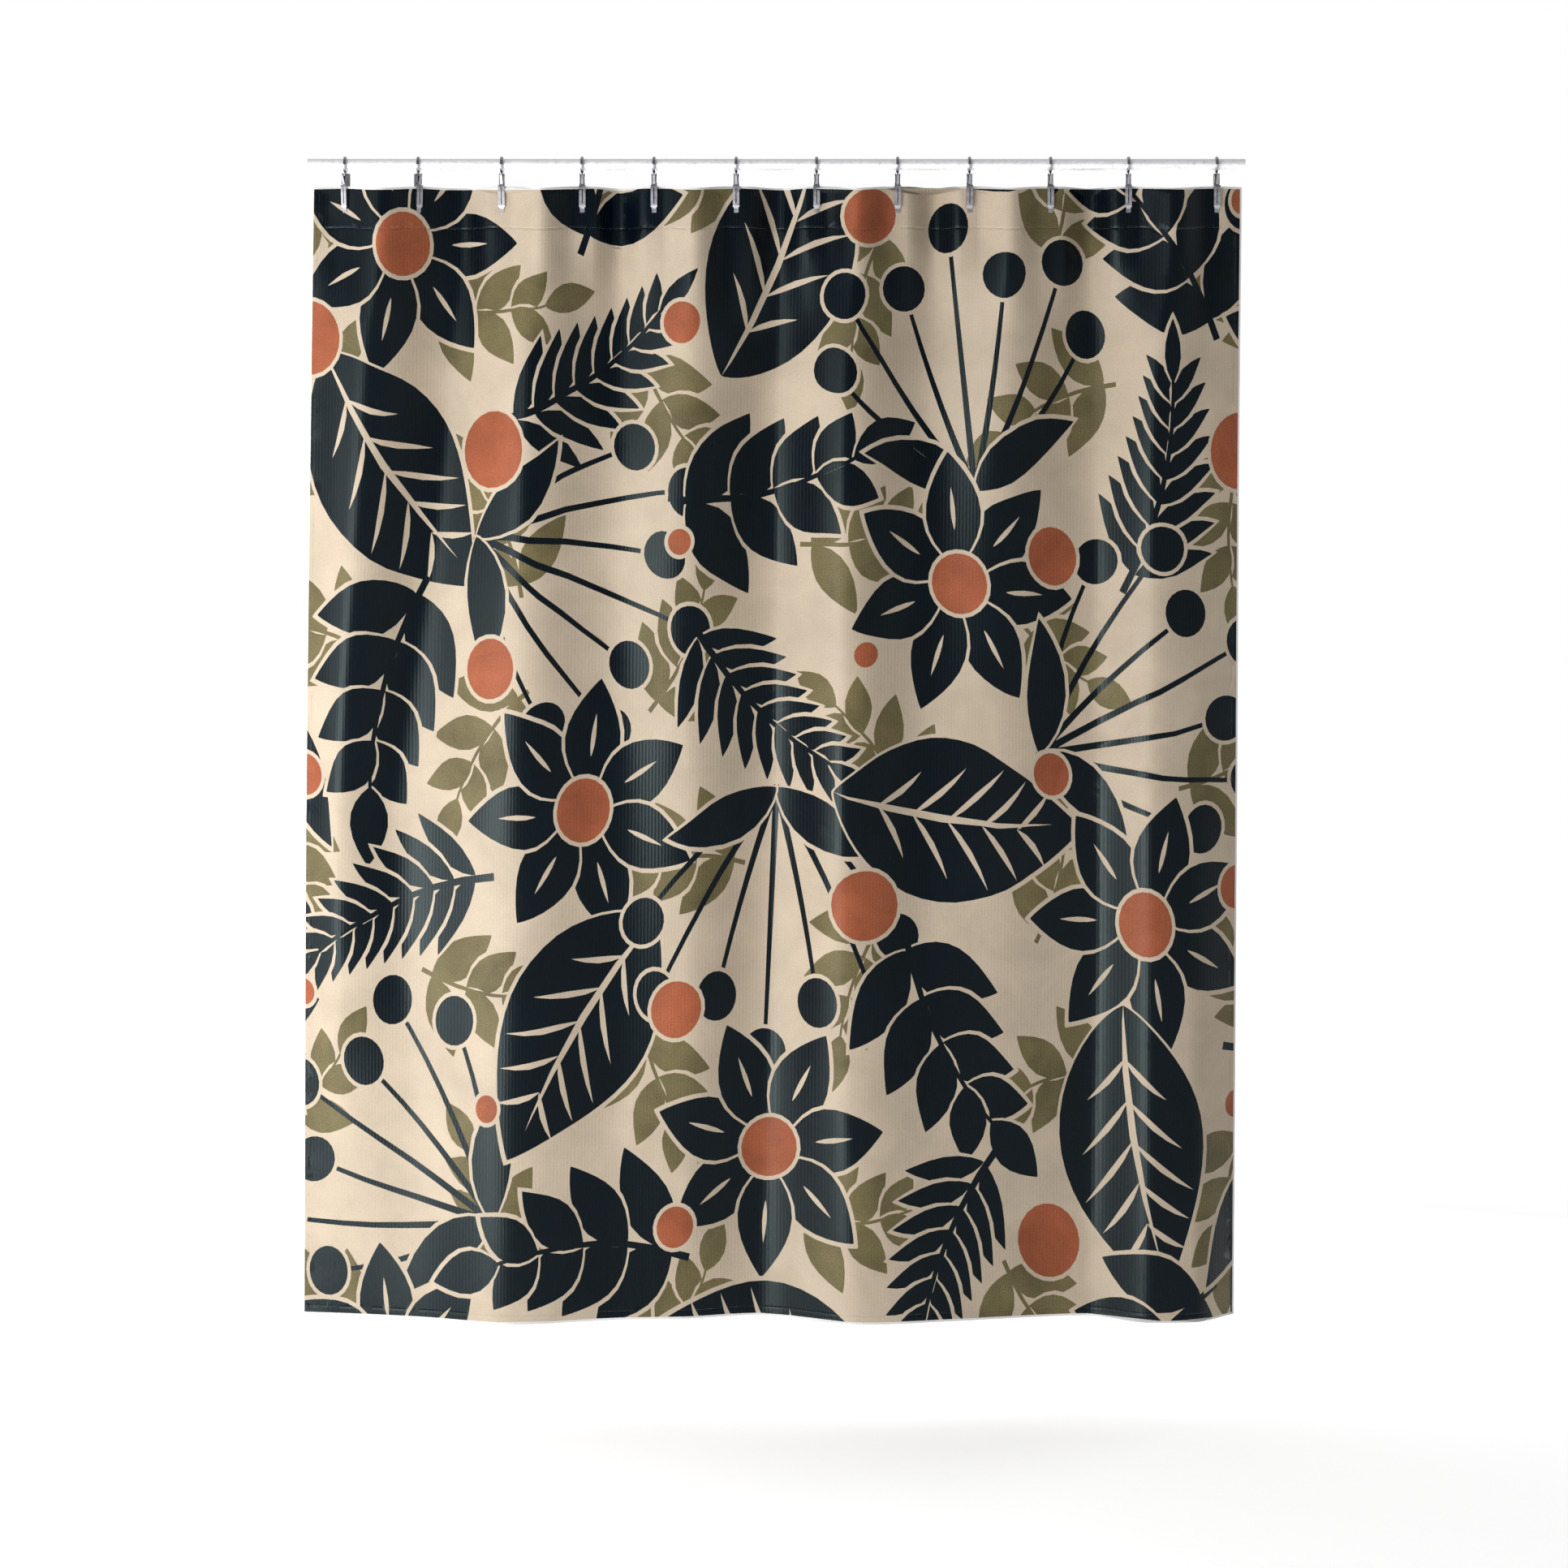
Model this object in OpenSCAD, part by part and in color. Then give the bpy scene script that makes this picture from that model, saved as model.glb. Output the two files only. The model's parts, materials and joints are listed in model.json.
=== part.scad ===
// Printed shower curtain hung by twelve pinch-clip rings on a straight rod.
// The origin is the centre of the rod's left end. +X runs along the rod,
// -Y is the printed side and +Z is up. Millimetres.

/* [Rod] */
// Length of the rod
rod_len = 1551; // [1500:1:1800]
// Outer diameter of the rod
rod_d = 19; // [16:0.5:19]
// Wall thickness of the rod's tube
rod_wall = 1.2; // [0.8:0.1:2]
// Depth of the plug in each end of the rod
plug_depth = 14; // [8:1:30]
// Gap round a plug inside the tube
plug_fit = 0.05; // [0:0.01:0.2]

/* [Rings] */
// Gap between the top of the rod and the ring that hangs on it
ring_gap = 0.25; // [0.1:0.05:0.4]
// Inner diameter of a ring
ring_id = 19.8; // [19.8:0.1:22]
// Thickness of a ring's band, from its inside to its outside
ring_band = 3.6; // [3:0.1:4]
// Width of a ring's band along the rod
ring_width = 5.6; // [4:0.1:6]
// Drop from the rod's axis to the eye that carries the clip
eye_drop = 17; // [16.6:0.1:20]

/* [Clips] */
// Width of the back jaw's channel
clip_w = 7.6; // [7:0.1:9]
// Thickness of the clips' sheet metal
clip_sheet = 0.8; // [0.6:0.05:1]
// Width of the front jaw where it covers the cloth
jaw_w = 10.7; // [10:0.1:14]
// Width of the front jaw's foot
foot_w = 7.5; // [6:0.1:9]
// Width of the front jaw's handle
handle_w = 4.4; // [3:0.1:4.4]

/* [Curtain] */
// Distance from the rod's left end to the curtain's left edge
cloth_start = 5; // [0:1:20]
// Width of the curtain as it hangs in its folds
cloth_w = 1542; // [1520:1:1560]
// Height of the curtain
cloth_h = 1880; // [1500:5:2000]
// Drop from the rod's axis to the curtain's top edge
cloth_drop = 36; // [36:0.5:38]
// Thickness of the curtain's solids
cloth_t = 0.6; // [0.4:0.1:0.6]

/* [Hidden] */
$fn = 48;

// Where each ring hangs along the rod
RING_X = [62, 183, 321, 454, 573, 709, 842, 976, 1095, 1229, 1358, 1504];
// Turn of each clip about the vertical, in degrees: negative faces the left end
CLIP_YAW = [-34, 34, -6, 4, -2, -4, 0, 2, 5, 3, 0, 8];
// How far the cloth bulges in front of the rod's axis midway between two clips
BULGE = [40, -36, 38, -36, 36, -36, 38, -34, 36, -38, 38];
// How far the curtain's two side edges stand in front of the rod's axis
EDGE_BULGE = [-16, -14];

ring_r = ring_id / 2;
ring_z = rod_d / 2 + ring_gap - ring_r;
ring_out_r = ring_r + ring_band;

// The eye under a ring: a flat loop round the clip's upper pin
eye_t = 2.4;
eye_hole_r = 1.7;
eye_r = 2.9;
neck_r = 1.2;

// The clip's two pins, placed from the eye's centre as [back, up]
upper_pin_r = 1;
lower_pin = [1, -14];
lower_pin_r = 1.1;
pin_fit = 0.08;
rivet_r = 1.9;
rivet_t = 0.5;

// The back jaw's channel in side view, from the eye's centre as [back, up]
channel_top = 2.1;
channel_back = 8;
channel_front = -5;
jaw_tip = -62.5;
jaw_face = cloth_t / 2 + 0.3;
pad_h = 10;
CHANNEL_SIDE = [
    [channel_front, channel_top], [channel_back, channel_top], [channel_back, -17],
    [4.4, -25], [2.6, jaw_tip], [jaw_face, jaw_tip], [jaw_face, -18], [channel_front, -14.5]
];
CHANNEL_HOLLOW = [
    [channel_front - 1, channel_top + 1], [channel_back - clip_sheet, channel_top + 1],
    [channel_back - clip_sheet, -16.8], [4.4 - clip_sheet, -24.8],
    [3 - clip_sheet, jaw_tip + pad_h], [channel_front - 1, jaw_tip + pad_h]
];

// The front jaw's strips in side view, each a line of [back, up] points
HANDLE_LINE = [[-8.8, -0.6], [-8.5, -2.5], [-3.9, -15.5], [-4.2, -18]];
LEVER_LINE = [[-4.6, -17], [-5, -20], [-3.6, -51], [-2.6, -53.5]];
FOOT_LINE = [[-3.2, -50], [-2.6, -53.5], [-1.1, -56], [-1.1, jaw_tip]];
FLANGE_SIDE = [[-4.8, -18.2], [-1.1, -19], [-1.1, -50], [-3.4, -51]];
EAR_SIDE = [[-4.6, -12.5], [1, -11.8], [1, -16.2], [-4, -17.4]];
ear_r = 2.3;
ear_gap = 0.3;
crease_w = 1.5;
crease_depth = 0.4;
CREASE_SIDE = [[-7, -21], [-4.95 + crease_depth, -21], [-3.7 + crease_depth, -48], [-7, -48]];

// The wire spring: coils round the lower pin, one leg on each jaw
spring_wire_r = 0.35;
spring_r = 1.75;
spring_coils = 4;
spring_pitch = 0.9;
BACK_LEG = [[2.75, -14], [7, -6.5]];
FRONT_LEG = [[-1.2, -12.6], [-7, -6.2]];

// The cloth is straight this far to each side of a clip
flat_half = 9;
// The gap left between two neighbouring strips of the curtain
strip_gap = 0.3;
curve_steps = 8;
// Each strip is made as narrow upright panels, so that its collision follows
// the folds. A panel runs between two of these points of the strip's line.
PANEL_ENDS = [0, 3, 6, 8, 9, 11, 14, 17];
panel_gap = 0.1;

RING_COUNT = len(RING_X);

function id(name, i) = str(name, "_", i < 9 ? "0" : "", i + 1);

// A line of points given thickness t to both sides, as one outline
function side_of(line, k, d) =
    let (a = line[max(k - 1, 0)], b = line[min(k + 1, len(line) - 1)], v = (b - a) / norm(b - a))
    line[k] + d * [-v[1], v[0]];
function thicken(line, t) = concat(
    [for (k = [0:len(line) - 1]) side_of(line, k, t / 2)],
    [for (k = [len(line) - 1:-1:0]) side_of(line, k, -t / 2)]
);

// A smooth curve from p to q that leaves along u and arrives along v
function hermite(p, u, q, v, t) =
    (2 * t * t * t - 3 * t * t + 1) * p + (t * t * t - 2 * t * t + t) * u
    + (3 * t * t - 2 * t * t * t) * q + (t * t * t - t * t) * v;

// Plan of the curtain: where clip i stands, and which way the cloth runs there
function clip_at(i) = [RING_X[i], 0];
function cloth_dir(i) = [cos(CLIP_YAW[i]), sin(CLIP_YAW[i])];
function middle_x(i) = (RING_X[i] + RING_X[i + 1]) / 2;

// The far point of the stretch to the left (side -1) or right (side 1) of clip i
function stretch_end(i, side) =
    side < 0
        ? (i == 0 ? [cloth_start, -EDGE_BULGE[0]] : [middle_x(i - 1) + strip_gap / 2, -BULGE[i - 1]])
        : (i == RING_COUNT - 1
            ? [cloth_start + cloth_w, -EDGE_BULGE[1]]
            : [middle_x(i) - strip_gap / 2, -BULGE[i]]);

// The points of that stretch, from the clip outwards
function stretch(i, side) =
    let (
        p = clip_at(i) + side * flat_half * cloth_dir(i),
        q = stretch_end(i, side),
        run = norm(q - p),
        u = side * run * cloth_dir(i),
        v = side * run * [1, 0]
    )
    [for (k = [0:curve_steps]) hermite(p, u, q, v, k / curve_steps)];
function reversed(line) = [for (k = [len(line) - 1:-1:0]) line[k]];
function strip_line(i) = concat(reversed(stretch(i, -1)), stretch(i, 1));

// The part of that line between points a and b, short of b by the panels' gap
function panel_line(line, a, b) =
    [for (k = [a:b]) k == b && b < len(line) - 1
        ? line[k] - panel_gap * (line[k] - line[k - 1]) / norm(line[k] - line[k - 1])
        : line[k]];

// Draws its children in the frame of clip i: the eye at the origin, -Y to the front
module at_clip(i) {
    translate([RING_X[i], 0, -eye_drop])
        rotate([0, 0, CLIP_YAW[i]])
            children();
}

// Extrudes a side view of [back, up] points to width w, centred on the clip
module side_plate(w, x = 0) {
    translate([x - w / 2, 0, 0])
        rotate([90, 0, 90])
            linear_extrude(height = w)
                children();
}

module cross_pin(r, at, length) {
    translate([-length / 2, at[0], at[1]])
        rotate([0, 90, 0])
            cylinder(r = r, h = length);
}

// A straight wire in the plane x, between two [back, up] points
module wire(x, ends) {
    run = ends[1] - ends[0];
    translate([x, ends[0][0], ends[0][1]])
        rotate([-atan2(run[0], run[1]), 0, 0])
            cylinder(r = spring_wire_r, h = norm(run), $fn = 16);
}

module rod_tube() {
    color("whitesmoke")
        rotate([0, 90, 0])
            difference() {
                cylinder(d = rod_d, h = rod_len, $fn = 96);
                translate([0, 0, -1])
                    cylinder(d = rod_d - 2 * rod_wall, h = rod_len + 2, $fn = 96);
            }
}

// One plug: a shallow cup that closes the end of the tube, flush with it
module rod_plug() {
    plug_r = rod_d / 2 - rod_wall - plug_fit;
    plug_wall = 1.6;
    rotate([0, 90, 0])
        difference() {
            cylinder(r = plug_r, h = plug_depth);
            translate([0, 0, 2 * plug_wall])
                cylinder(r = plug_r - plug_wall, h = plug_depth);
        }
}

module rod_plugs() {
    color("white") {
        rod_plug();
        translate([rod_len, 0, 0])
            mirror([1, 0, 0])
                rod_plug();
    }
}

module ring(i) {
    edge_r = ring_band / 2;
    edge_x = (ring_width - ring_band) / 2;
    color("silver") {
        translate([RING_X[i], 0, ring_z])
            rotate([0, 90, 0])
                rotate_extrude($fn = 96)
                    translate([ring_r + edge_r, 0]) {
                        square([ring_band, 2 * edge_x], center = true);
                        translate([0, edge_x])
                            circle(r = edge_r);
                        translate([0, -edge_x])
                            circle(r = edge_r);
                    }
        at_clip(i)
            difference() {
                union() {
                    cross_pin(eye_r, [0, 0], eye_t);
                    translate([0, 0, eye_hole_r + 0.3])
                        cylinder(r = neck_r, h = eye_drop + ring_z - ring_out_r + edge_r - eye_hole_r);
                }
                cross_pin(eye_hole_r, [0, 0], eye_t + 2);
            }
    }
}

module rivet(r, at) {
    cross_pin(r, at, clip_w);
    for (side = [-1, 1])
        translate([side * (clip_w + rivet_t) / 2, 0, 0])
            cross_pin(rivet_r, at, rivet_t);
}

module spring_coils() {
    for (k = [0:spring_coils - 1])
        translate([(k - (spring_coils - 1) / 2) * spring_pitch, lower_pin[0], lower_pin[1]])
            rotate([0, 90, 0])
                rotate_extrude()
                    translate([spring_r, 0])
                        circle(r = spring_wire_r, $fn = 16);
    wire(0, BACK_LEG);
}

// The back jaw: a channel with its two riveted pins, and the spring on the lower one
module clip_back(i) {
    color("dimgray")
        at_clip(i) {
            difference() {
                side_plate(clip_w)
                    polygon(CHANNEL_SIDE);
                side_plate(clip_w - 2 * clip_sheet)
                    polygon(CHANNEL_HOLLOW);
            }
            rivet(upper_pin_r, [0, 0]);
            rivet(lower_pin_r, lower_pin);
            spring_coils();
        }
}

// The front jaw: a handle, two ears on the lower pin, a creased lever and its foot
module clip_jaw(i) {
    ear_x = clip_w / 2 - clip_sheet - ear_gap - clip_sheet / 2;
    flange_x = (jaw_w - clip_sheet) / 2;
    color("gainsboro")
        at_clip(i) {
            side_plate(handle_w)
                polygon(thicken(HANDLE_LINE, clip_sheet));
            difference() {
                side_plate(jaw_w)
                    polygon(thicken(LEVER_LINE, clip_sheet));
                side_plate(crease_w)
                    polygon(CREASE_SIDE);
            }
            side_plate(foot_w)
                polygon(thicken(FOOT_LINE, clip_sheet));
            for (side = [-1, 1]) {
                side_plate(clip_sheet, side * flange_x)
                    polygon(FLANGE_SIDE);
                difference() {
                    side_plate(clip_sheet, side * ear_x) {
                        polygon(EAR_SIDE);
                        translate(lower_pin)
                            circle(r = ear_r);
                    }
                    cross_pin(lower_pin_r + pin_fit, lower_pin, clip_w);
                }
            }
            wire(0, FRONT_LEG);
        }
}

// One strip of the curtain, held by clip i
module cloth(i) {
    color("antiquewhite")
        translate([0, 0, -cloth_drop - cloth_h])
            linear_extrude(height = cloth_h)
                for (k = [0:len(PANEL_ENDS) - 2])
                    polygon(thicken(
                        panel_line(strip_line(i), PANEL_ENDS[k], PANEL_ENDS[k + 1]), cloth_t));
}

rod_tube();
rod_plugs();
for (i = [0:RING_COUNT - 1]) {
    ring(i);
    clip_back(i);
    clip_jaw(i);
    cloth(i);
}
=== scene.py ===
import json
import math

import bpy
import numpy as np
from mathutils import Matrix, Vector
from mathutils.geometry import delaunay_2d_cdt


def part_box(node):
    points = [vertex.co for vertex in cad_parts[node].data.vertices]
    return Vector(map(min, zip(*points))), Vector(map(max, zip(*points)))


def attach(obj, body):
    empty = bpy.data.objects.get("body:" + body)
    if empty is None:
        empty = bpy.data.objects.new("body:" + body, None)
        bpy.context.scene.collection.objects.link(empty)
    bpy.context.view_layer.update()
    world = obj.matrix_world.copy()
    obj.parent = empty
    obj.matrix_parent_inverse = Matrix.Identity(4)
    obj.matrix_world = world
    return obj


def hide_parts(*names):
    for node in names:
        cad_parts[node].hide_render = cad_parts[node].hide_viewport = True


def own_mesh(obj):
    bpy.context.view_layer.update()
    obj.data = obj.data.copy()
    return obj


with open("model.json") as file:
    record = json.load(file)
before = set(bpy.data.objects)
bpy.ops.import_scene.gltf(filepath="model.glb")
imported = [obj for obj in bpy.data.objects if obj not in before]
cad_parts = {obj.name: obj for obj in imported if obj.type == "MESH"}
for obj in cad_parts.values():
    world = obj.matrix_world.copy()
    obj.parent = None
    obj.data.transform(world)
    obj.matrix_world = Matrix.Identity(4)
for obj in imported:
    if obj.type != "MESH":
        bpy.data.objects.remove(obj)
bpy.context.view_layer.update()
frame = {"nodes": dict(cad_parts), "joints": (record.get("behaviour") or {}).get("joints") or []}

# ------------------------------------------------------------------ the frame
CLIPS = 12
FLAT_W, FLAT_H = 1.803, 1.88        # the sewn sheet laid flat
CLOTH_T = 0.0005                    # printed polyester
JOINTS = {j["name"]: j for j in frame["joints"]}


def joint_of(kind, number):
    """The last sway and draw joints lead the others, and have no number."""
    leads = kind in ("sway", "draw") and number == CLIPS
    return JOINTS[kind if leads else f"{kind}_{number:02d}"]


# where each clip hangs along the rod, and how far it is turned towards a side
clip_x = np.array([joint_of("sway", i)["pos_m"][0] for i in range(1, CLIPS + 1)])
clip_slope = np.array([j["axis"][1] / j["axis"][0] for j in
                       (joint_of("open", i) for i in range(1, CLIPS + 1))])
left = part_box("cloth_01")[0].x
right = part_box("cloth_12")[1].x
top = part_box("cloth_01")[1].z
# how far down the sheet the clips reach
grip = top - min(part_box(f"clip_jaw_{i:02d}")[0].z for i in range(1, CLIPS + 1))


# ------------------------------------------------------------ the hanging form
def pchip_slopes(x, y):
    """Slopes of a curve through the points that never overshoots them."""
    h = np.diff(x)
    d = np.diff(y) / h
    m = np.zeros(len(x))
    same = d[:-1] * d[1:] > 0
    safe = np.where(same, d[:-1], 1), np.where(same, d[1:], 1)
    w = 2 * h[1:] + h[:-1], h[1:] + 2 * h[:-1]
    m[1:-1] = np.where(same, (w[0] + w[1]) / (w[0] / safe[0] + w[1] / safe[1]), 0)
    m[0], m[-1] = d[0], d[-1]
    return m


def hermite(x, y, m, at):
    """The curve through the points (x, y) with slopes m, read at `at`."""
    at = np.clip(at, x[0], x[-1])
    i = np.clip(np.searchsorted(x, at, side="right") - 1, 0, len(x) - 2)
    h = x[i + 1] - x[i]
    t = (at - x[i]) / h
    return ((1 + 2 * t) * (1 - t) ** 2 * y[i] + t * (1 - t) ** 2 * h * m[i]
            + t * t * (3 - 2 * t) * y[i + 1] + t * t * (t - 1) * h * m[i + 1])


def smooth(lo, hi, x):
    """0 below lo, 1 above hi, and a soft step between them."""
    t = np.clip((x - lo) / (hi - lo), 0, 1)
    return t * t * (3 - 2 * t)


# Folds as (metres along the rod, millimetres towards the viewer), from the
# left edge to the right one, at four heights.
LEVELS = np.array([0.0, 0.50, 1.10, FLAT_H])
FOLDS = np.array([
    [(.006, -14), (.122, 40), (.252, -36), (.388, 38), (.514, -36), (.641, 36), (.776, -36),
     (.909, 38), (1.036, -34), (1.162, 36), (1.294, -38), (1.431, 38), (1.504, 2), (1.547, -14)],
    [(-.002, -22), (.088, 20), (.215, -26), (.362, 36), (.505, -14), (.630, 12), (.768, -34),
     (.893, 38), (1.030, -12), (1.145, 10), (1.298, -30), (1.405, 26), (1.480, 8), (1.543, -18)],
    [(-.009, -24), (.055, 4), (.145, -14), (.352, 36), (.520, -6), (.622, 4), (.765, -36),
     (.890, 38), (1.030, 2), (1.130, 0), (1.300, -27), (1.400, 22), (1.452, 14), (1.541, -28)],
    [(-.014, -46), (.080, -30), (.190, -4), (.335, 44), (.530, 2), (.620, -4), (.740, -36),
     (.915, 44), (1.060, 18), (1.160, -8), (1.285, -32), (1.400, 32), (1.462, 26), (1.537, -46)],
])
LAST_FOLD = FOLDS.shape[1] - 1
GRIP_HALF = 0.013                   # cloth held flat to each side of a clip


def level_mix(column, v):
    """One knot's value at a height, from its values at the four levels."""
    return hermite(LEVELS, column, pchip_slopes(LEVELS, column), v)


def pinned_fold(x):
    """Depth (towards the viewer, metres) where the clips hold the hem flat."""
    mids = FOLDS[0][1:CLIPS]
    xs, ys, ms = [FOLDS[0][0][0]], [FOLDS[0][0][1] / 1000], [0.1]
    for i, c in enumerate(clip_x):
        for side in (-GRIP_HALF, GRIP_HALF):
            xs.append(c + side)
            ys.append(-clip_slope[i] * side)
            ms.append(-clip_slope[i])
        if i < CLIPS - 1:
            xs.append(mids[i][0])
            ys.append(mids[i][1] / 1000)
            ms.append(0)
    xs.append(FOLDS[0][LAST_FOLD][0])
    ys.append(FOLDS[0][LAST_FOLD][1] / 1000)
    ms.append(-0.3)
    return hermite(np.array(xs), np.array(ys), np.array(ms), x)


ROWS = np.linspace(0, FLAT_H, 189)
COLS = np.linspace(0, 1, 1201)
DEPTH_LIMIT = 0.049                 # the folds stay this close to the rod's axis
SEARCH_STEPS = 22                   # halvings in the search for a row's fold depth


def free_row(v):
    """One row of the hanging sheet, its folds deepened until it is as long as the
    cloth is wide, as far as the depth limit lets it."""
    folds = range(LAST_FOLD + 1)
    knots_x = np.array([level_mix(FOLDS[:, k, 0], v) for k in folds])
    knots_y = np.array([level_mix(FOLDS[:, k, 1], v) for k in folds]) / 1000
    x = knots_x[0] + COLS * (knots_x[-1] - knots_x[0])
    y = hermite(knots_x, knots_y, pchip_slopes(knots_x, knots_y), x)
    lo, hi = 0.6, 3.0
    for _ in range(SEARCH_STEPS):
        s = (lo + hi) / 2
        arc = np.hypot(np.diff(x), np.diff(y * s)).sum()
        lo, hi = (s, hi) if arc < FLAT_W else (lo, s)
    room = DEPTH_LIMIT / np.abs(y).max()
    s = 1 / (1 / s ** 6 + 1 / room ** 6) ** (1 / 6)
    return x, y * s


field_x, field_y = (np.array(a) for a in zip(*(free_row(v) for v in ROWS)))
pin = pinned_fold(field_x)
LET_GO_AT = 0.26                    # below the top edge, where the clips' hold ends
let_go = smooth(grip + 0.002, LET_GO_AT, ROWS)[:, None]
field_y = pin * (1 - let_go) + field_y * let_go
# the hem stitching puckers the free edges in short ripples
run = COLS[None, :] * FLAT_W
deep = ROWS[:, None]
from_end = FLAT_H - deep
field_y = field_y + 0.0003 * np.exp(-from_end / 0.03) * (
    np.sin(run * 71 + 1.3 * np.sin(run * 9)) + 0.6 * np.sin(run * 117 + 2))
side = np.minimum(run, FLAT_W - run)
side_ripple = np.sin(deep * 83 + 2 * np.sin(deep * 7))
field_y = field_y + let_go * 0.0009 * np.exp(-side / 0.02) * side_ripple
# faint soft creases left from hanging
creases = np.sin(run * 23 + deep * 1.7) * np.sin(deep * 3.1 + run * 5)
field_y = field_y + let_go * 0.0006 * creases

# where a fold stands forward, the sheet's top and low edges are a little lower
front_top, front_low = pin[0], field_y[-1]
sag = np.where(front_top > 0, -0.2, -0.04) * front_top
lift = 0.0053 - 0.003 * front_low / 0.045
share = deep / FLAT_H
field_z = top - deep + sag * (1 - share) + lift * share ** 2
FIELD = np.stack([field_x, -field_y, field_z], axis=-1)
GRAD_V, GRAD_U = np.gradient(FIELD, axis=(0, 1))
NORMAL = np.cross(GRAD_U, -GRAD_V)
NORMAL /= np.linalg.norm(NORMAL, axis=-1, keepdims=True)
NORMAL *= -np.sign(NORMAL[..., 1:2].mean())


def sample(table, uv):
    """The table at flat positions in metres, between its rows and columns."""
    r = np.clip(uv[:, 1] / FLAT_H * (len(ROWS) - 1), 0, len(ROWS) - 1.0001)
    c = np.clip(uv[:, 0] / FLAT_W * (len(COLS) - 1), 0, len(COLS) - 1.0001)
    i, j = r.astype(int), c.astype(int)
    a, b = (r - i)[:, None], (c - j)[:, None]
    return ((table[i, j] * (1 - b) + table[i, j + 1] * b) * (1 - a)
            + (table[i + 1, j] * (1 - b) + table[i + 1, j + 1] * b) * a)


# ------------------------------------------------------------------- the print
# A plain leaf and flower print of its own: five kinds of motif on a half-drop
# grid, each kind once in every row and column, turned by a formula. Places are
# complex numbers in flat centimetres, x to the right and y down.
CREAM, NAVY, RUST, OLIVE = range(4)
GRID = 5                            # motifs across and down the sheet
CELL_W, CELL_H = FLAT_W * 100 / GRID, FLAT_H * 100 / GRID
MOTIF = 45.0                        # length of a motif
GAP = 0.7                           # cream line kept round leaves and discs
GOLDEN = 2.399963                   # golden angle, radians
ink = []


def put(colour, ring):
    """Adds a printed shape; a later one covers an earlier one."""
    ink.append((colour, np.stack([ring.real, ring.imag], axis=1)))


def turned(angle):
    return complex(math.cos(angle), math.sin(angle))


def bow(base, tip, bend, t):
    """Points at t along a bowed line, and the line's direction there."""
    run = tip - base
    side = 1j * run / abs(run) * bend * 4
    way = run + side * (1 - 2 * t)
    return base + run * t + side * t * (1 - t), way / abs(way)


def leaf(base, tip, width, bend=0.0, colour=NAVY, gap=GAP):
    """A pointed leaf; a gap clears a cream line round it first."""
    along = (tip - base) / abs(tip - base)
    steps = 6 + round(width * 0.75)  # a wide leaf has the rounder outline
    t = (1 - np.cos(np.linspace(0, math.pi, steps))) / 2
    for grow, tone in ((gap, CREAM), (0.0, colour)):
        if tone == colour or grow:
            mid, way = bow(base - along * grow * 0.6, tip + along * grow * 1.6, bend, t)
            half = (width / 2 + grow) * np.sin(math.pi * t ** 0.86) ** 0.9
            put(tone, np.concatenate([mid + 1j * way * half, (mid - 1j * way * half)[-2:0:-1]]))


def disc(centre, radius, colour=RUST, gap=GAP, n=22):
    """A pebble or a berry, a little out of round."""
    angle = np.linspace(0, 2 * math.pi, n, endpoint=False)
    ring = (1 + 0.05 * np.sin(2 * angle + centre.real)) * np.exp(1j * angle)
    if gap:
        put(CREAM, centre + (radius + gap) * ring)
    put(colour, centre + radius * ring)


def stem(base, tip, bend, thick, thin, colour=NAVY):
    """A bowed stroke that tapers towards its tip."""
    mid, way = bow(base, tip, bend, np.linspace(0, 1, 8))
    off = 1j * way * np.linspace(thick, thin, 8) / 2
    put(colour, np.concatenate([mid + off, (mid - off)[::-1]]))


def branch(at, turn, size, pairs, reach, width, colour=NAVY):
    """Leaves in pairs up a bowed stem, shorter towards its tip."""
    base, tip, bend = at - turn * size / 2, at + turn * size * 0.42, size * 0.07
    for k in range(pairs):
        t = 0.14 + 0.78 * k / pairs
        root, way = bow(base, tip, bend, t)
        for side in (-1, 1):
            end = root + way * turned(side * (0.95 - 0.4 * t)) * size * reach * (1.1 - 0.6 * t)
            leaf(root, end, size * width * (1.1 - 0.4 * t), side * size * -0.012, colour)
    root, way = bow(base, tip, bend, 0.9)
    leaf(root, root + way * size * reach * 0.7, size * width * 0.8, 0.0, colour)
    stem(base + turn * size * 0.06, tip, bend, size * 0.028, size * 0.012, colour)


def fern(at, turn):
    branch(at, turn, MOTIF * 1.05, 8, 0.32, 0.085)


def sprig(at, turn):
    branch(at, turn, MOTIF * 1.05, 4, 0.40, 0.19)


def daisy(at, turn):
    """Seven broad petals, each with a slit, round a rust middle."""
    for k in range(7):
        way = turn * turned(k * 2 * math.pi / 7)
        leaf(at + way * MOTIF * 0.07, at + way * MOTIF * 0.49, MOTIF * 0.235)
        leaf(at + way * MOTIF * 0.2, at + way * MOTIF * 0.36, 0.9, 0.0, CREAM, 0)
    disc(at, MOTIF * 0.115)


def broad_leaf(at, turn):
    """One wide leaf with its veins left cream."""
    size, bend = MOTIF * 1.08, 2.0
    base, tip = at - turn * size / 2, at + turn * size / 2
    leaf(base, tip, size * 0.56, bend)
    leaf(base, base + (tip - base) * 0.88, 1.3, bend * 0.88, CREAM, 0)
    for k in range(5):
        t = 0.18 + 0.14 * k
        root, way = bow(base, tip, bend, t)
        for side in (-1, 1):
            vein = way * turned(side * 0.82) * size * 0.29 * (1.05 - 1.4 * abs(t - 0.42))
            leaf(root, root + vein, 1.1, side * -0.5, CREAM, 0)


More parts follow.
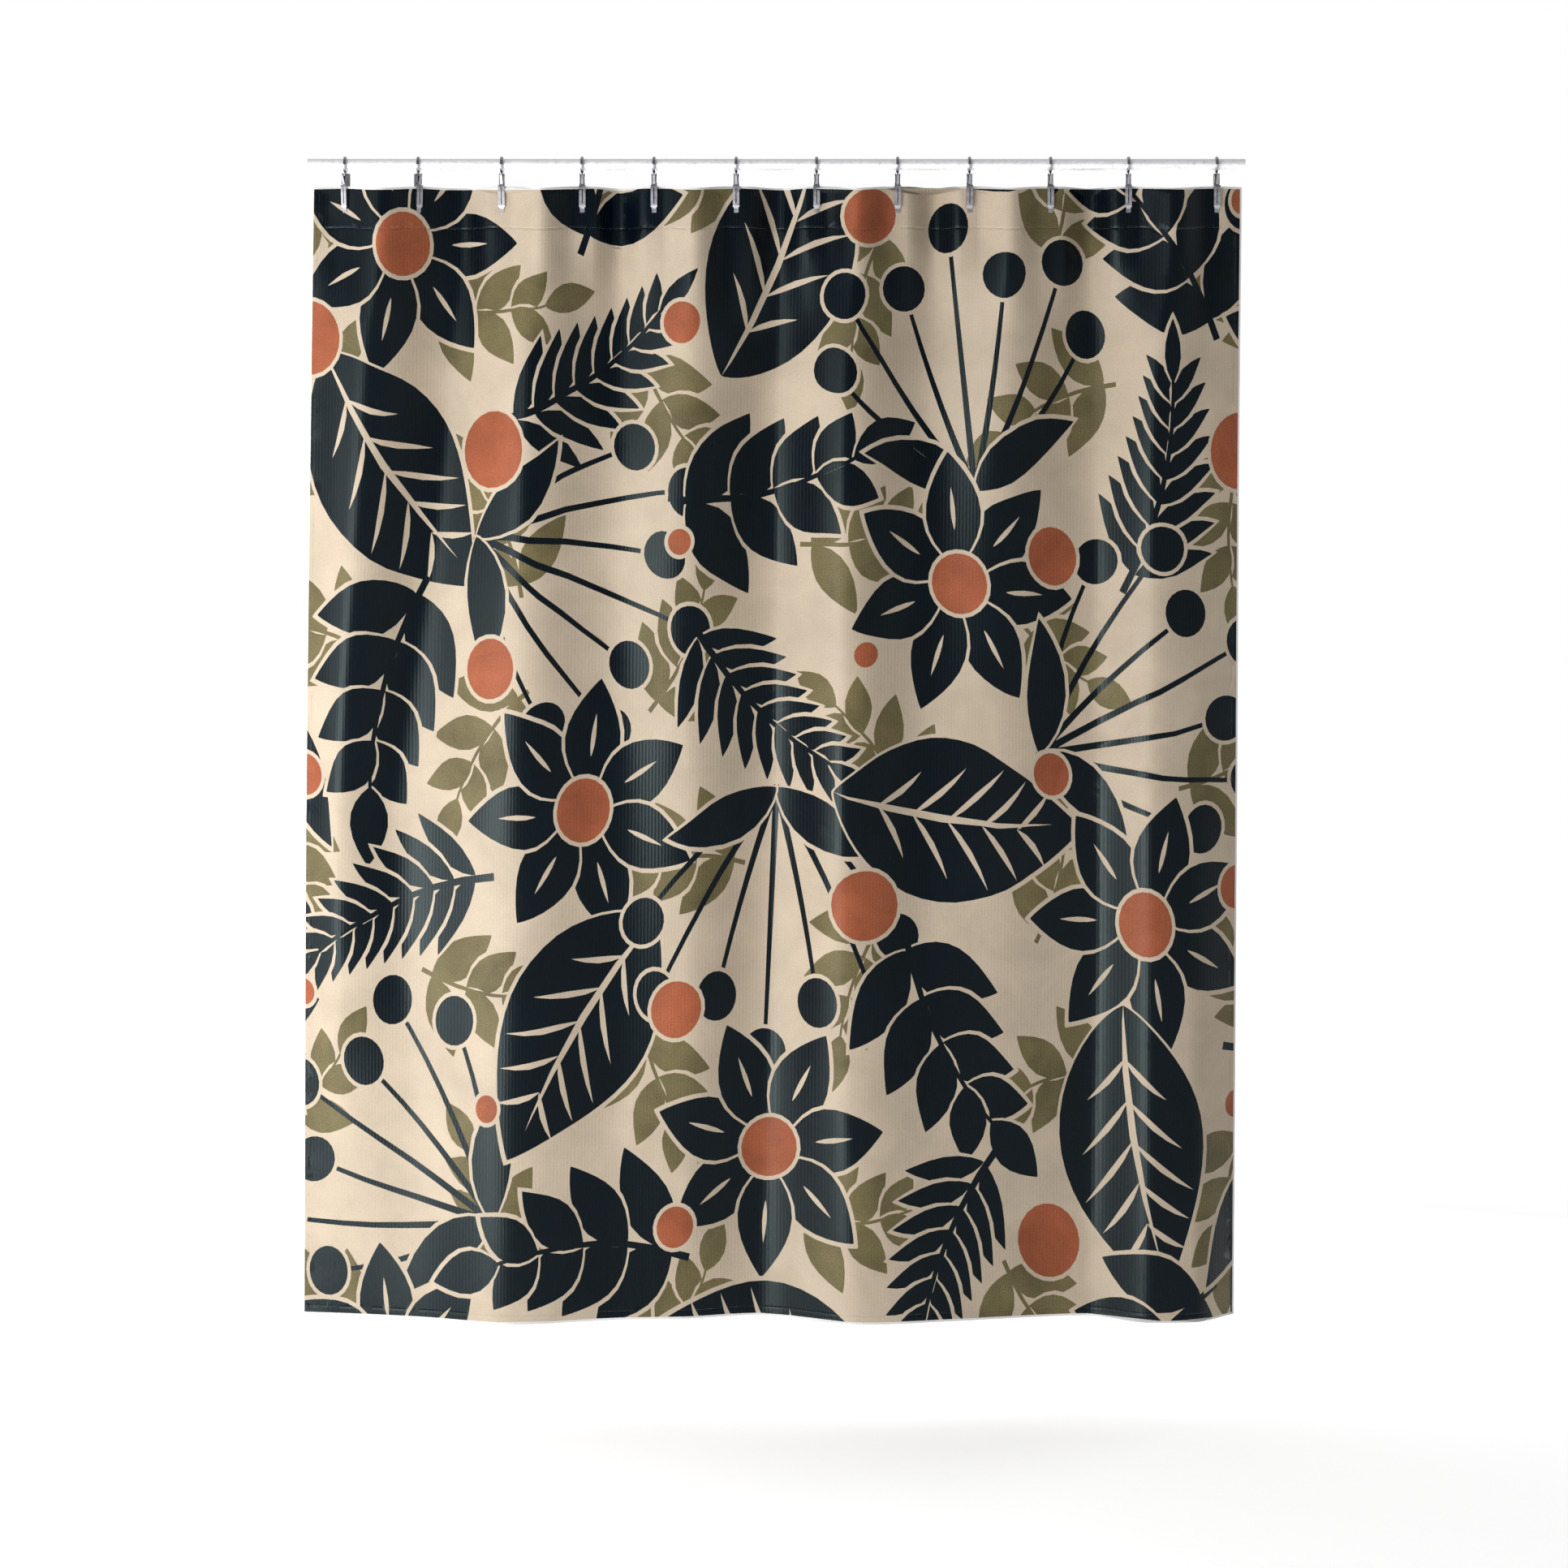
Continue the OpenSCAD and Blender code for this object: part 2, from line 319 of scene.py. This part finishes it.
def berries(at, turn):
    """Seven round berries on stems that fan out from one point."""
    base = at - turn * MOTIF * 0.5
    for k in range(-3, 4):
        tip = base + turn * turned(0.27 * k) * MOTIF * (0.98 - 0.14 * (k % 2) - 0.03 * abs(k))
        stem(base, tip, 0.6 * k, 1.3, 0.7)
        disc(tip, MOTIF * 0.088, NAVY)
    for side in (-1, 1):
        leaf(base, base + turn * turned(side * 1.15) * MOTIF * 0.5, MOTIF * 0.17, side * -1.5)


KINDS = [daisy, fern, broad_leaf, berries, sprig]
cells = [(i, j, complex((i + 0.5) * CELL_W, (j + 0.25 + 0.5 * (i % 2)) * CELL_H))
         for i in range(-1, GRID + 1) for j in range(-1, GRID + 2)]
for i, j, at in cells:              # olive sprays between the motifs, behind them
    corner = at + complex(0.5 * CELL_W, 0.25 * CELL_H)
    branch(corner, turned(GOLDEN * (3 * i + 7 * j)), MOTIF * 0.66, 3, 0.46, 0.21, OLIVE)
for i, j, at in cells:
    KINDS[(i + 2 * j) % len(KINDS)](at, turned(GOLDEN * (5 * i + 3 * j)))
for i, j, at in cells:              # pebbles in front, in two of every three cells
    if (i + j) % 3:
        size = 2.2 + 1.3 * ((i + 3 * j) % 4)
        disc(at + complex(0.5 * CELL_W, -0.25 * CELL_H + size), size)


# ------------------------------------------------------- from print to a mesh
EDGE = 0.0035                       # unprinted selvedge
SIDE_HEM, TOP_HEM, LOW_HEM = 0.012, 0.068, 0.014
HEM_T = 0.0006                      # turned-over cloth behind the sheet
SEAM_PULL = 0.0002                  # how far a row of stitches sinks into the cloth
SEAM_SPREAD = 0.0012                # and how far to its sides it pulls the cloth in
STITCH_DENT = 0.0016                # from a stitched line to where its dent leans most
UNPRINTED, PLAIN, GHOST = 4, 5, 6   # slots after the four inks


def seam_lines(limit, step, extra):
    """Even grid lines and the extra ones, with no even line close to an extra one."""
    base = list(np.linspace(0, limit, round(limit / step) + 1))
    for e in extra:
        base = [b for b in base if b in extra or abs(b - e) > step * 0.3 or b in (0, limit)] + [e]
    return np.array(sorted(set(base)))


def hem_steps(at):
    return [at + k * STITCH_DENT for k in range(-2, 3)]


grid_u = seam_lines(FLAT_W, 0.0092, hem_steps(SIDE_HEM) + hem_steps(FLAT_W - SIDE_HEM))
grid_v = seam_lines(FLAT_H, 0.022, hem_steps(TOP_HEM) + hem_steps(FLAT_H - LOW_HEM)
                    + [0.012, 0.025, 0.04, 0.055, 0.085, 0.1, 0.12])
gu, gv = np.meshgrid(grid_u, grid_v)
points = [np.stack([gu.ravel(), gv.ravel()], axis=1)]
count = len(points[0])
edges = []


def clip_box(poly, lo, hi):
    """Sutherland-Hodgman: the part of an outline inside the printed field."""
    for axis, bound, sign in ((0, lo[0], 1), (0, hi[0], -1), (1, lo[1], 1), (1, hi[1], -1)):
        if not len(poly):
            break
        out = []
        inside = sign * (poly[:, axis] - bound) >= 0
        for i in range(len(poly)):
            a, b = poly[i - 1], poly[i]
            if inside[i] != inside[i - 1]:
                t = (bound - a[axis]) / (b[axis] - a[axis])
                out.append(a + (b - a) * t)
            if inside[i]:
                out.append(b)
        poly = np.array(out)
    return poly


lo_uv = np.array([EDGE, EDGE])
hi_uv = np.array([FLAT_W - EDGE, FLAT_H - EDGE])
field = []
for colour, poly in ink:
    flat = clip_box(poly / 100, lo_uv, hi_uv)       # centimetres to metres
    if len(flat) > 2:
        field.append((colour, flat))
frame_line = np.array([lo_uv, (hi_uv[0], lo_uv[1]), hi_uv, (lo_uv[0], hi_uv[1])])
for poly in [p for _, p in field] + [frame_line]:
    n = len(poly)
    points.append(poly)
    edges += [(count + i, count + (i + 1) % n) for i in range(n)]
    count += n
points = np.concatenate(points)
verts2, _, faces2, _, _, _ = delaunay_2d_cdt(
    [Vector((x, -y)) for x, y in points], edges, [], 0, 1e-6, False)
flat_uv = np.array([(p.x, -p.y) for p in verts2])
tris = np.array([f for f in faces2 if len(f) == 3])
a, b, c = (flat_uv[tris[:, k]] for k in range(3))
area = (b[:, 0] - a[:, 0]) * (c[:, 1] - a[:, 1]) - (b[:, 1] - a[:, 1]) * (c[:, 0] - a[:, 0])
tris = tris[np.abs(area) > 1e-13]
centre = flat_uv[tris].mean(axis=1)

# the last outline that holds a triangle gives its colour
tone = np.zeros(len(tris), int)
for colour, poly in field:
    lo, hi = poly.min(axis=0), poly.max(axis=0)
    near = np.flatnonzero(((centre >= lo) & (centre <= hi)).all(axis=1))
    if not len(near):
        continue
    x, y = centre[near, 0][:, None], centre[near, 1][:, None]
    x0, y0 = poly[:, 0][None], poly[:, 1][None]
    x1, y1 = np.roll(poly[:, 0], -1)[None], np.roll(poly[:, 1], -1)[None]
    cross = (y0 > y) != (y1 > y)
    at = x0 + (y - y0) * (x1 - x0) / np.where(cross, y1 - y0, 1)
    hit = (cross & (at > x)).sum(axis=1) % 2 == 1
    tone[near[hit]] = colour
bare = ((centre < lo_uv) | (centre > hi_uv)).any(axis=1)

surface = sample(FIELD, flat_uv)
normal = sample(NORMAL, flat_uv)
normal /= np.linalg.norm(normal, axis=1, keepdims=True)
u, v = flat_uv[:, 0], flat_uv[:, 1]
from_side = np.minimum(u, FLAT_W - u)
in_hem = np.maximum.reduce([1 - smooth(SIDE_HEM, SIDE_HEM + STITCH_DENT, from_side),
                            1 - smooth(TOP_HEM, TOP_HEM + STITCH_DENT, v),
                            1 - smooth(LOW_HEM, LOW_HEM + STITCH_DENT, FLAT_H - v)])
seam = np.maximum.reduce([np.exp(-((from_side - SIDE_HEM) / SEAM_SPREAD) ** 2),
                          np.exp(-((v - TOP_HEM) / SEAM_SPREAD) ** 2),
                          np.exp(-((FLAT_H - v - LOW_HEM) / SEAM_SPREAD) ** 2)])
front = surface + normal * (CLOTH_T / 2 - SEAM_PULL * seam)[:, None]
# the stitched lines dimple the sheet
down = sample(GRAD_V, flat_uv)
along = sample(GRAD_U, flat_uv)
down, along = (g / np.linalg.norm(g, axis=1, keepdims=True) for g in (down, along))


def dimple(distance):
    """Lean of the shaded surface at a distance from a stitched line."""
    return 0.35 * np.clip(distance / STITCH_DENT, -1, 1) * (np.abs(distance) < 1.5 * STITCH_DENT)


towards_middle = np.where(u < FLAT_W / 2, 1, -1)
tilt = (along * (towards_middle * dimple(from_side - SIDE_HEM))[:, None]
        + down * (dimple(v - TOP_HEM) - 0.6 * dimple(FLAT_H - v - LOW_HEM))[:, None])
shading = normal - tilt
shading /= np.linalg.norm(shading, axis=1, keepdims=True)
# the hem's extra thickness is left out where the clips hold it
held = 1 - smooth(grip, grip + 0.02, v)
back = surface - normal * (CLOTH_T / 2 + HEM_T * in_hem * (1 - held))[:, None]

n_front = len(front)
all_verts = np.concatenate([front, back])
# an edge that only one triangle has is on the sheet's rim
half_edges = {(p, q): True for i, j, k in tris.tolist() for p, q in ((i, j), (j, k), (k, i))}
rim = [(p, q) for p, q in half_edges if (q, p) not in half_edges]
rim_faces = [(q, p, p + n_front, q + n_front) for p, q in rim]
faces = tris.tolist() + (tris[:, ::-1] + n_front).tolist() + rim_faces

sheet = bpy.data.meshes.new("curtain_sheet")
sheet.from_pydata(all_verts.tolist(), [], faces)
curtain = bpy.data.objects.new("curtain_sheet", sheet)
bpy.context.scene.collection.objects.link(curtain)
slots = np.concatenate([np.where(bare, UNPRINTED, tone),
                        np.where(bare | (tone == CREAM), PLAIN, GHOST),
                        np.full(len(rim_faces), UNPRINTED)])
sheet.polygons.foreach_set("material_index", slots.astype(np.int32))
sheet.polygons.foreach_set("use_smooth", np.ones(len(faces), bool))
loop_vert = np.zeros(len(sheet.loops), np.int32)
sheet.loops.foreach_get("vertex_index", loop_vert)
uv_layer = sheet.uv_layers.new(name="flat")
uv_layer.data.foreach_set("uv", flat_uv[loop_vert % n_front].astype(np.float32).ravel())
vertex_normal = np.concatenate([shading, -normal])
loop_normal = vertex_normal[loop_vert]
sheet.normals_split_custom_set(loop_normal.tolist())
sheet.update()


# -------------------------------------------------------------------- stitches
def stitch_row(line, pitch=0.0034, length=0.0024, radius=0.0003):
    """Short thread loops along a flat line, on both faces of the sheet."""
    a, b = (np.array(p, float) for p in line)
    n = int(np.linalg.norm(b - a) / pitch)
    along = (b - a) / np.linalg.norm(b - a)
    mids = a + (np.arange(n)[:, None] + 0.5) * pitch * along
    ends = [mids - along * length / 2, mids + along * length / 2]
    p0, p1, pm = (sample(FIELD, q) for q in (*ends, mids))
    nm = sample(NORMAL, mids)
    nm /= np.linalg.norm(nm, axis=1, keepdims=True)
    across = np.cross(p1 - p0, nm)
    across /= np.linalg.norm(across, axis=1, keepdims=True)
    parts = []
    for sign, lift in ((1, CLOTH_T / 2), (-1, CLOTH_T / 2 + HEM_T)):
        out = nm * sign
        level = out * (lift - SEAM_PULL)
        parts.append(np.stack([p0 + level - out * 0.0001, pm + level - across * radius,
                               pm + level + out * radius * 1.5, pm + level + across * radius,
                               p1 + level - out * 0.0001], axis=1))
    return np.concatenate(parts)


THREAD_START = 0.003                # the top row starts this far from the edge
seams = [((SIDE_HEM, TOP_HEM), (SIDE_HEM, FLAT_H - LOW_HEM)),
         ((FLAT_W - SIDE_HEM, TOP_HEM), (FLAT_W - SIDE_HEM, FLAT_H - LOW_HEM)),
         ((THREAD_START, TOP_HEM), (FLAT_W - THREAD_START, TOP_HEM)),
         ((SIDE_HEM, FLAT_H - LOW_HEM), (FLAT_W - SIDE_HEM, FLAT_H - LOW_HEM))]
loops5 = np.concatenate([stitch_row(s) for s in seams])
base = np.arange(len(loops5))[:, None] * 5
quads = np.array([(0, 1, 2), (0, 2, 3), (4, 2, 1), (4, 3, 2), (0, 3, 1), (4, 1, 3)])
thread_faces = (base[:, :, None] + quads[None]).reshape(-1, 3)
thread_mesh = bpy.data.meshes.new("hem_stitching")
thread_mesh.from_pydata(loops5.reshape(-1, 3).tolist(), [], thread_faces.tolist())
thread_mesh.polygons.foreach_set("use_smooth", np.ones(len(thread_faces), bool))
stitching = bpy.data.objects.new("hem_stitching", thread_mesh)
bpy.context.scene.collection.objects.link(stitching)


# ------------------------------------------------------------------- materials
class Mat:
    """A Principled material with short helpers for its node tree."""

    def __init__(self, name, colour, rough, metal=0.0, specular=0.5):
        self.mat = bpy.data.materials.new(name)
        self.mat.use_nodes = True
        self.tree = self.mat.node_tree
        self.bsdf = self.tree.nodes["Principled BSDF"]
        self.set("Base Color", (*colour, 1))
        self.set("Roughness", rough)
        self.set("Metallic", metal)
        self.set("Specular IOR Level", specular)

    def set(self, socket, value):
        self.bsdf.inputs[socket].default_value = value

    def node(self, kind, **values):
        n = self.tree.nodes.new(kind)
        for key, value in values.items():
            if hasattr(n, key):
                setattr(n, key, value)
            else:
                n.inputs[key.replace("_", " ")].default_value = value
        return n

    def link(self, out, into):
        self.tree.links.new(out, into)

    def ramp(self, source, stops):
        n = self.tree.nodes.new("ShaderNodeValToRGB")
        while len(n.color_ramp.elements) < len(stops):
            n.color_ramp.elements.new(0.5)
        for e, (at, colour) in zip(n.color_ramp.elements, stops):
            e.position = at
            e.color = (*colour, 1)
        self.link(source, n.inputs["Fac"])
        return n.outputs["Color"]

    def bump(self, heights):
        """heights: (socket, strength, distance) from coarse to fine."""
        last = None
        for socket, strength, distance in heights:
            n = self.tree.nodes.new("ShaderNodeBump")
            n.inputs["Strength"].default_value = strength
            n.inputs["Distance"].default_value = distance
            self.link(socket, n.inputs["Height"])
            if last:
                self.link(last, n.inputs["Normal"])
            last = n.outputs["Normal"]
        self.link(last, self.bsdf.inputs["Normal"])


def tint(colour, k):
    """The colour made k times as light, up to white."""
    return tuple(min(1.0, c * k) for c in colour)


RIB_SCALE = 48.0                    # one woven rib about every 6.5 mm


def cloth_material(name, colour, rough, specular, mottle, rib, glow=(1, 1, 1)):
    """Ribbed polyester with a mottled ink; glow tints its sheen."""
    m = Mat(name, colour, rough, 0.0, specular)
    m.set("Specular Tint", (*glow, 1))
    uv = m.node("ShaderNodeUVMap", uv_map="flat").outputs["UV"]
    cloud = m.node("ShaderNodeTexNoise", Scale=9.0, Detail=7.0, Roughness=0.62, Distortion=0.3)
    grain = m.node("ShaderNodeTexNoise", Scale=420.0, Detail=3.0, Roughness=0.6)
    ribs = m.node("ShaderNodeTexWave", bands_direction="X", Scale=RIB_SCALE, Distortion=0.6,
                  Detail=2.0, Detail_Scale=1.5)
    weft = m.node("ShaderNodeTexWave", bands_direction="Y", Scale=310.0, Distortion=0.8,
                  Detail=1.0, Detail_Scale=3.0)
    for n in (cloud, grain, ribs, weft):
        m.link(uv, n.inputs["Vector"])
    tones = m.ramp(cloud.outputs["Fac"], [(0.32, tint(colour, 1 - mottle)), (0.5, colour),
                                          (0.68, tint(colour, 1 + mottle))])
    speck = m.ramp(grain.outputs["Fac"], [(0.3, (1 - mottle * 1.1,) * 3), (0.5, (1, 1, 1)),
                                          (0.7, (1 + mottle * 0.7,) * 3)])
    mix = m.node("ShaderNodeMix", data_type="RGBA", blend_type="MULTIPLY")
    mix.inputs["Factor"].default_value = 1.0
    m.link(tones, mix.inputs["A"])
    m.link(speck, mix.inputs["B"])
    m.link(mix.outputs["Result"], m.bsdf.inputs["Base Color"])
    gloss = m.ramp(ribs.outputs["Fac"], [(0.1, (rough + 0.05,) * 3), (0.8, (rough - 0.03,) * 3)])
    m.link(gloss, m.bsdf.inputs["Roughness"])
    m.bump([(ribs.outputs["Fac"], rib, 0.0012), (weft.outputs["Fac"], 0.12, 0.0002),
            (grain.outputs["Fac"], 0.30, 0.0006)])
    return m.mat


def metal_material(name, colour, rough, scratch=0.04, metal=1.0, painted_shade_top=None):
    """Worn plated metal; given a share of the height, it is darker above that share, as painted
    shade.
    """
    m = Mat(name, colour, rough, metal)
    where = m.node("ShaderNodeTexCoord").outputs["Object"]
    wear = m.node("ShaderNodeTexNoise", Scale=140.0, Detail=6.0, Roughness=0.65)
    fine = m.node("ShaderNodeTexNoise", Scale=900.0, Detail=3.0, Roughness=0.5)
    for n in (wear, fine):
        m.link(where, n.inputs["Vector"])
    m.link(m.ramp(wear.outputs["Fac"], [(0.35, (rough * 0.8,) * 3), (0.65, (rough * 1.5,) * 3)]),
           m.bsdf.inputs["Roughness"])
    worn = m.ramp(wear.outputs["Fac"], [(0.3, tint(colour, 0.86)), (0.6, colour)])
    # painted shade: above the given share of the height the colour is multiplied darker
    if painted_shade_top:
        split_z = m.node("ShaderNodeSeparateXYZ")
        m.link(m.node("ShaderNodeTexCoord").outputs["Generated"], split_z.inputs[0])
        worn_and_painted_shade = m.node("ShaderNodeMix", data_type="RGBA", blend_type="MULTIPLY")
        worn_and_painted_shade.inputs["Factor"].default_value = 1.0
        m.link(worn, worn_and_painted_shade.inputs["A"])
        painted_shade_tone = m.ramp(split_z.outputs["Z"], [(painted_shade_top - 0.02, (1, 1, 1)),
                                              (painted_shade_top + 0.02, (0.72,) * 3)])
        m.link(painted_shade_tone, worn_and_painted_shade.inputs["B"])
        worn = worn_and_painted_shade.outputs["Result"]
    m.link(worn, m.bsdf.inputs["Base Color"])
    m.bump([(fine.outputs["Fac"], scratch, 0.0002)])
    return m.mat


CREAM_RGB = (0.428, 0.355, 0.270)
NAVY_RGB = (0.0005, 0.0024, 0.0054)
NAVY_GLOW = (0.82, 1.0, 0.98)
RUST_RGB = (0.262, 0.075, 0.034)
OLIVE_RGB = (0.118, 0.098, 0.046)
for mat in [cloth_material("print_cream", CREAM_RGB, 0.50, 0.12, 0.09, 0.10),
            cloth_material("print_navy", NAVY_RGB, 0.27, 0.18, 0.30, 0.09, NAVY_GLOW),
            cloth_material("print_terracotta", RUST_RGB, 0.45, 0.12, 0.22, 0.12),
            cloth_material("print_olive", OLIVE_RGB, 0.45, 0.12, 0.28, 0.12),
            cloth_material("unprinted_edge", (0.62, 0.61, 0.60), 0.55, 0.12, 0.02, 0.1),
            cloth_material("back_plain", (0.60, 0.585, 0.555), 0.55, 0.12, 0.03, 0.12),
            cloth_material("back_print_ghost", (0.50, 0.495, 0.485), 0.55, 0.12, 0.03, 0.12)]:
    sheet.materials.append(mat)
thread = Mat("thread", (0.24, 0.23, 0.21), 0.6, 0.0, 0.2)
twist = thread.node("ShaderNodeTexNoise", Scale=2500.0, Detail=2.0)
thread.link(thread.node("ShaderNodeTexCoord").outputs["Object"], twist.inputs["Vector"])
thread.link(thread.ramp(twist.outputs["Fac"], [(0.35, (0.17, 0.16, 0.15)),
                                               (0.6, (0.28, 0.27, 0.24))]),
            thread.bsdf.inputs["Base Color"])
thread.bump([(twist.outputs["Fac"], 0.4, 0.0002)])
thread_mesh.materials.append(thread.mat)

METALS = {"rod_tube": metal_material("rod_satin", (0.95, 0.95, 0.97), 0.34, metal=0.35),
          "ring": metal_material("ring_chrome", (0.40, 0.40, 0.43), 0.16),
          # the back half is a darker copy of the same plated steel: painted shade
          "clip_back": metal_material("clip_steel_dark", (0.16, 0.16, 0.17), 0.28),
          # the jaw's upper part is darkened with painted shade
          "clip_jaw": metal_material("clip_steel_bright", (0.50, 0.50, 0.54), 0.34, painted_shade_top=0.55)}
plastic = Mat("plug_plastic", (0.72, 0.72, 0.73), 0.4)
pores = plastic.node("ShaderNodeTexNoise", Scale=800.0, Detail=4.0)
plastic.link(plastic.node("ShaderNodeTexCoord").outputs["Object"], pores.inputs["Vector"])
plastic.link(plastic.ramp(pores.outputs["Fac"], [(0.3, (0.66,) * 3), (0.7, (0.76,) * 3)]),
             plastic.bsdf.inputs["Base Color"])
plastic.bump([(pores.outputs["Fac"], 0.15, 0.0003)])
METALS["rod_plugs"] = plastic.mat
for name, node in frame["nodes"].items():
    for key, mat in METALS.items():
        if name.startswith(key):
            node.data.materials.clear()
            node.data.materials.append(mat)

# ------------------------------------------------------------ onto the frame
HOLDER = 6                          # the clip next to the middle carries the sheet
for piece in (curtain, stitching):
    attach(piece, f"clip_{HOLDER:02d}")
    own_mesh(piece)
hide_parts(*[f"cloth_{i:02d}" for i in range(1, CLIPS + 1)])

# ------------------------------------------------------------ floor and light
FLOOR_Z = -2.06
floor_mesh = bpy.data.meshes.new("studio_floor")
FAR = 60.0                          # half the floor's width
floor_mesh.from_pydata([(-FAR, -FAR, 0), (FAR, -FAR, 0), (FAR, FAR, 0), (-FAR, FAR, 0)],
                       [], [(0, 1, 2, 3)])
floor = bpy.data.objects.new("studio_floor", floor_mesh)
floor.location = ((left + right) / 2, 0, FLOOR_Z)
bpy.context.scene.collection.objects.link(floor)
floor_mat = Mat("studio_paper", (0.80, 0.80, 0.80), 0.9, 0.0, 0.1)
floor_mat.set("Emission Color", (1, 1, 1, 1))
# painted shadow: the floor glows a little less right under the sheet, where its soft shadow falls
spot = floor_mat.node("ShaderNodeVectorMath", operation="LENGTH")
reach = floor_mat.node("ShaderNodeMapRange", interpolation_type="SMOOTHSTEP")
for socket, value in (("From Min", 1.0), ("From Max", 6.0), ("To Min", 0.36), ("To Max", 0.66)):
    reach.inputs[socket].default_value = value
floor_mat.link(floor_mat.node("ShaderNodeTexCoord").outputs["Object"], spot.inputs[0])
floor_mat.link(spot.outputs["Value"], reach.inputs["Value"])
floor_mat.link(reach.outputs["Result"], floor_mat.bsdf.inputs["Emission Strength"])
floor_mesh.materials.append(floor_mat.mat)

scene = bpy.context.scene
world = bpy.data.worlds.new("studio")
scene.world = world
world.use_nodes = True
wt = world.node_tree
sky = wt.nodes["Background"]
ray = wt.nodes.new("ShaderNodeTexCoord")
split = wt.nodes.new("ShaderNodeSeparateXYZ")
wt.links.new(ray.outputs["Generated"], split.inputs[0])
both = wt.nodes.new("ShaderNodeMix")
both.data_type, both.blend_type = "RGBA", "MULTIPLY"
both.inputs["Factor"].default_value = 1.0
# the surroundings are a little darker high up, and much darker behind the camera
for axis, into, *ends in (("Z", "A", 0.30, 0.80, 1.0, 0.85), ("Y", "B", -0.9, 0.9, 0.20, 1.0)):
    place = wt.nodes.new("ShaderNodeMapRange")
    place.interpolation_type = "SMOOTHSTEP"
    for socket, value in zip(("From Min", "From Max", "To Min", "To Max"), ends):
        place.inputs[socket].default_value = value
    wt.links.new(split.outputs[axis], place.inputs["Value"])
    wt.links.new(place.outputs["Result"], both.inputs[into])
wt.links.new(both.outputs["Result"], sky.inputs["Color"])
sky.inputs["Strength"].default_value = 1.0


def softbox(name, azimuth, height, distance, width, tall, power, aim):
    """A big soft light; azimuth is degrees left of the camera's side."""
    light = bpy.data.lights.new(name, "AREA")
    light.shape = "RECTANGLE"
    light.size, light.size_y, light.energy = width, tall, power
    lamp = bpy.data.objects.new(name, light)
    a = math.radians(azimuth)
    lamp.location = aim + Vector((-math.sin(a) * distance, -math.cos(a) * distance, height))
    lamp.visible_camera = False
    lamp.rotation_euler = (aim - lamp.location).to_track_quat("-Z", "Y").to_euler()
    scene.collection.objects.link(lamp)


MIDDLE = Vector(((left + right) / 2, 0, top - FLAT_H / 2))
LOW_LEFT = Vector((left + 0.15, 0, -1.28))
# each box: azimuth, height over its aim, distance, width, height, watts, aim
softbox("key", 42, -0.10, 3.25, 1.4, 2.2, 33, MIDDLE)
softbox("side", 68, 0.0, 3.2, 1.6, 2.2, 32, MIDDLE)
softbox("near", 31, 0.02, 2.2, 1.1, 1.6, 38, LOW_LEFT)
softbox("back", 222, 0.35, 3.4, 1.2, 1.8, 42, MIDDLE)

# ---------------------------------------------------------------------- camera
CAMERA_AT = Vector((0.788, -7.0, -1.025))
FRAME_WIDTH = 2.595                 # metres across the picture at the sheet
camera = bpy.data.objects.new("camera", bpy.data.cameras.new("camera"))
camera.location = CAMERA_AT
camera.rotation_euler = (math.pi / 2, 0, 0)
SENSOR = 36                         # millimetres
camera.data.sensor_width = SENSOR
camera.data.lens = SENSOR * -CAMERA_AT.y / FRAME_WIDTH
camera.data.clip_end = 200
scene.collection.objects.link(camera)
scene.camera = camera
scene.view_settings.view_transform = "Standard"
